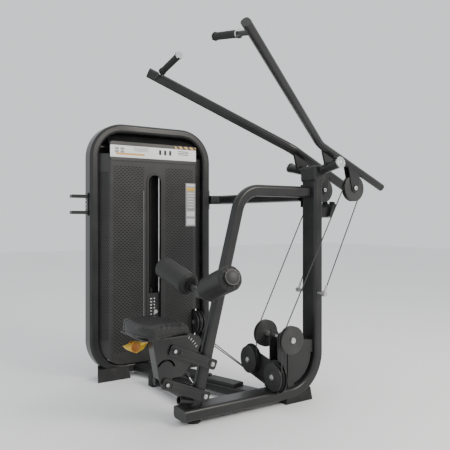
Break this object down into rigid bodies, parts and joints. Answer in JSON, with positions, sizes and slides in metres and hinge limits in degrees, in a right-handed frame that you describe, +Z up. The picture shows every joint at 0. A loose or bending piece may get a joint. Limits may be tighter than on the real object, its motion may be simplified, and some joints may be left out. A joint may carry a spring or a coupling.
{
  "type": "lat pulldown machine",
  "caption": "Plate-stack lat pulldown machine with two diverging overhead arms, parallel-link seat, thigh rollers and a shrouded weight tower beside the frame.",
  "frame": {"origin": "on the floor under the centre of the base tube's front foot", "axes": "+Z up, +X from the seat end along the base tube towards the post, +Y from the post towards the weight tower"},
  "size_m": [1.5023, 1.487, 1.8092],
  "materials": {
    "frame_paint": "satin graphite powder coat",
    "shroud_steel": "satin grey powder coat on perforated sheet",
    "dark_plastic": "fine textured moulding",
    "foot_rubber": "moulded rubber",
    "grip_rubber": "soft satin rubber",
    "chrome": "polished",
    "bolt_steel": "zinc plated",
    "plate_iron": "black painted",
    "cable_jacket": "nylon coated wire rope",
    "upholstery": "grained vinyl over foam",
    "black_steel": "gloss black",
    "lever_yellow": "moulded yellow",
    "placard_white": null
  },
  "bodies": {
    "frame": {"accessory_hooks": "frame_paint", "arm_cables": "cable_jacket", "arm_stop_bracket": "frame_paint", "base_end_plug": "dark_plastic", "base_front_foot": "foot_rubber", "bend_gusset": "frame_paint", "cable_anchors": "bolt_steel", "cable_covers": "dark_plastic", "frame_bolts": "bolt_steel", "front_shroud": "shroud_steel", "guide_rods": "chrome", "lower_crossbeam": "frame_paint", "main_frame_tube": "frame_paint", "pivot_shafts": "chrome", "placard": "placard_white", "post_top_shroud": "dark_plastic", "pulley_axle_bolts": "bolt_steel", "pulley_mount": "frame_paint", "rear_shroud": "shroud_steel", "resting_plates": "plate_iron", "roller_axle": "frame_paint", "seat_column": "frame_paint", "stabiliser_foot": "foot_rubber", "stabiliser_leg": "frame_paint", "stack_buffers": "foot_rubber", "stack_cable": "cable_jacket", "top_tray": "frame_paint", "tower_inner_plates": "frame_paint", "tower_loop": "frame_paint", "upper_crossbeam": "frame_paint", "wedge_feet": "foot_rubber"},
    "weight_carriage": {"head_plate": "plate_iron", "lifted_plates": "plate_iron"},
    "selector_pin": {"selector_pin": "bolt_steel"},
    "right_arm": {"right_arm_frame": "frame_paint", "right_arm_end_plugs": "dark_plastic", "right_handle_grip": "grip_rubber", "right_handle_collars": "chrome"},
    "left_arm": {"left_arm_frame": "frame_paint", "left_arm_end_plugs": "dark_plastic", "left_handle_grip": "grip_rubber", "left_handle_collars": "chrome"},
    "right_arm_pulley": {"right_arm_pulley": "dark_plastic"},
    "left_arm_pulley": {"left_arm_pulley": "dark_plastic"},
    "upper_guide_pulleys": {"upper_guide_pulleys": "dark_plastic"},
    "left_guide_pulley": {"left_guide_pulley": "dark_plastic"},
    "right_guide_pulley": {"right_guide_pulley": "dark_plastic"},
    "tower_lower_pulleys": {"tower_lower_pulleys": "dark_plastic"},
    "top_pulley_outer": {"top_pulley_outer": "dark_plastic"},
    "top_pulley_inner": {"top_pulley_inner": "dark_plastic"},
    "cable_yoke": {"cable_yoke": "bolt_steel"},
    "upper_link": {"upper_link": "frame_paint"},
    "lower_link": {"lower_link": "frame_paint"},
    "seat": {"seat_carriage": "frame_paint", "seat_pad": "upholstery"},
    "adjust_lever": {"adjust_lever": "lever_yellow"},
    "gas_spring_rod": {"gas_spring_rod": "chrome"},
    "gas_spring_barrel": {"gas_spring_barrel": "black_steel"},
    "left_thigh_roller": {"left_thigh_roller": "upholstery"},
    "right_thigh_roller": {"right_thigh_roller": "upholstery"}
  },
  "joints": [
    {"name": "weight_stack_lift", "type": "slide", "parent": "frame", "child": "weight_carriage", "axis": [0, 0, 1], "range_m": [0, 0.381], "deforming": ["arm_cables", "stack_cable"]},
    {"name": "right_arm_press", "type": "hinge", "parent": "frame", "child": "right_arm", "pos_m": [0.763, -0.198, 1.26], "axis": [0, -0.9781, 0.2079], "range_deg": [0, 55.2]},
    {"name": "left_arm_press", "type": "hinge", "parent": "frame", "child": "left_arm", "pos_m": [0.763, 0.198, 1.26], "axis": [0, -0.9781, -0.2079], "range_deg": [0, 55.2]},
    {"name": "right_arm_pulley_spin", "type": "hinge", "parent": "right_arm", "child": "right_arm_pulley", "pos_m": [0.934, -0.122, 1.134], "axis": [0, 1, 0], "range_deg": [0, 236]},
    {"name": "left_arm_pulley_spin", "type": "hinge", "parent": "left_arm", "child": "left_arm_pulley", "pos_m": [0.934, 0.122, 1.134], "axis": [0, 1, 0], "range_deg": [0, 236]},
    {"name": "upper_guide_spin", "type": "hinge", "parent": "frame", "child": "upper_guide_pulleys", "pos_m": [0.51, 0, 0.348], "axis": [0, 1, 0], "range_deg": [0, 354]},
    {"name": "left_guide_spin", "type": "hinge", "parent": "frame", "child": "left_guide_pulley", "pos_m": [0.448, 0.17, 0.2], "axis": [-1, 0, 0], "range_deg": [0, 354]},
    {"name": "right_guide_spin", "type": "hinge", "parent": "frame", "child": "right_guide_pulley", "pos_m": [0.448, -0.046, 0.155], "axis": [-1, 0, 0], "range_deg": [0, 354]},
    {"name": "tower_lower_spin", "type": "hinge", "parent": "frame", "child": "tower_lower_pulleys", "pos_m": [0.515, 0.872, 0.288], "axis": [-1, 0, 0], "range_deg": [0, 354]},
    {"name": "top_outer_spin", "type": "hinge", "parent": "frame", "child": "top_pulley_outer", "pos_m": [0.47, 0.934, 1.338], "axis": [0, 1, 0], "range_deg": [0, 487]},
    {"name": "top_inner_spin", "type": "hinge", "parent": "frame", "child": "top_pulley_inner", "pos_m": [0.259, 0.934, 1.338], "axis": [0, 1, 0], "range_deg": [0, 487]},
    {"name": "yoke_travel", "type": "slide", "parent": "frame", "child": "cable_yoke", "axis": [0, 0, -1], "range_m": [0, 0.382]},
    {"name": "pin_pull", "type": "slide", "parent": "weight_carriage", "child": "selector_pin", "axis": [0, -1, 0], "range_m": [0, 0.066]},
    {"name": "seat_raise", "type": "hinge", "parent": "frame", "child": "upper_link", "pos_m": [0.079, 0, 0.273], "axis": [0, 1, 0], "range_deg": [-20, 12]},
    {"name": "lower_link_swing", "type": "hinge", "parent": "frame", "child": "lower_link", "pos_m": [0.04, 0, 0.125], "axis": [0, 1, 0], "range_deg": [-20, 12]},
    {"name": "seat_level", "type": "hinge", "parent": "upper_link", "child": "seat", "pos_m": [-0.122, 0, 0.36], "axis": [0, 1, 0], "range_deg": [-12, 20]},
    {"name": "gas_rod_swing", "type": "hinge", "parent": "frame", "child": "gas_spring_rod", "pos_m": [0.02, 0, 0.15], "axis": [0, 1, 0], "range_deg": [-17, 11]},
    {"name": "gas_barrel_swing", "type": "hinge", "parent": "seat", "child": "gas_spring_barrel", "pos_m": [-0.112, 0, 0.342], "axis": [0, 1, 0], "range_deg": [-17, 11]},
    {"name": "lever_squeeze", "type": "hinge", "parent": "seat", "child": "adjust_lever", "pos_m": [-0.186, 0.044, 0.418], "axis": [0, 1, 0], "range_deg": [0, 18], "stiffness_Nm_per_rad": 3, "springref_deg": -5.73},
    {"name": "right_roller_spin", "type": "hinge", "parent": "frame", "child": "right_thigh_roller", "pos_m": [0.027, -0.086, 0.639], "axis": [-0.103, -0.9468, 0.305], "continuous": true},
    {"name": "left_roller_spin", "type": "hinge", "parent": "frame", "child": "left_thigh_roller", "pos_m": [0.027, 0.086, 0.639], "axis": [-0.103, 0.9468, 0.305], "continuous": true}
  ],
  "couplings": [
    {"joint": "right_arm_press", "follows": "weight_stack_lift", "rad_per_m": 2.52},
    {"joint": "left_arm_press", "follows": "weight_stack_lift", "rad_per_m": 2.52},
    {"joint": "right_arm_pulley_spin", "follows": "weight_stack_lift", "rad_per_m": 10.7},
    {"joint": "left_arm_pulley_spin", "follows": "weight_stack_lift", "rad_per_m": 10.7},
    {"joint": "upper_guide_spin", "follows": "weight_stack_lift", "rad_per_m": 16.13},
    {"joint": "left_guide_spin", "follows": "weight_stack_lift", "rad_per_m": 16.13},
    {"joint": "right_guide_spin", "follows": "weight_stack_lift", "rad_per_m": 16.13},
    {"joint": "tower_lower_spin", "follows": "weight_stack_lift", "rad_per_m": 16.13},
    {"joint": "top_outer_spin", "follows": "weight_stack_lift", "rad_per_m": 22.2},
    {"joint": "top_inner_spin", "follows": "weight_stack_lift", "rad_per_m": 22.2},
    {"joint": "yoke_travel", "follows": "weight_stack_lift", "ratio": 1},
    {"joint": "lower_link_swing", "follows": "seat_raise", "ratio": 1},
    {"joint": "seat_level", "follows": "seat_raise", "ratio": -1},
    {"joint": "gas_rod_swing", "follows": "seat_raise", "ratio": 0.82},
    {"joint": "gas_barrel_swing", "follows": "seat_raise", "ratio": 0.82}
  ]
}
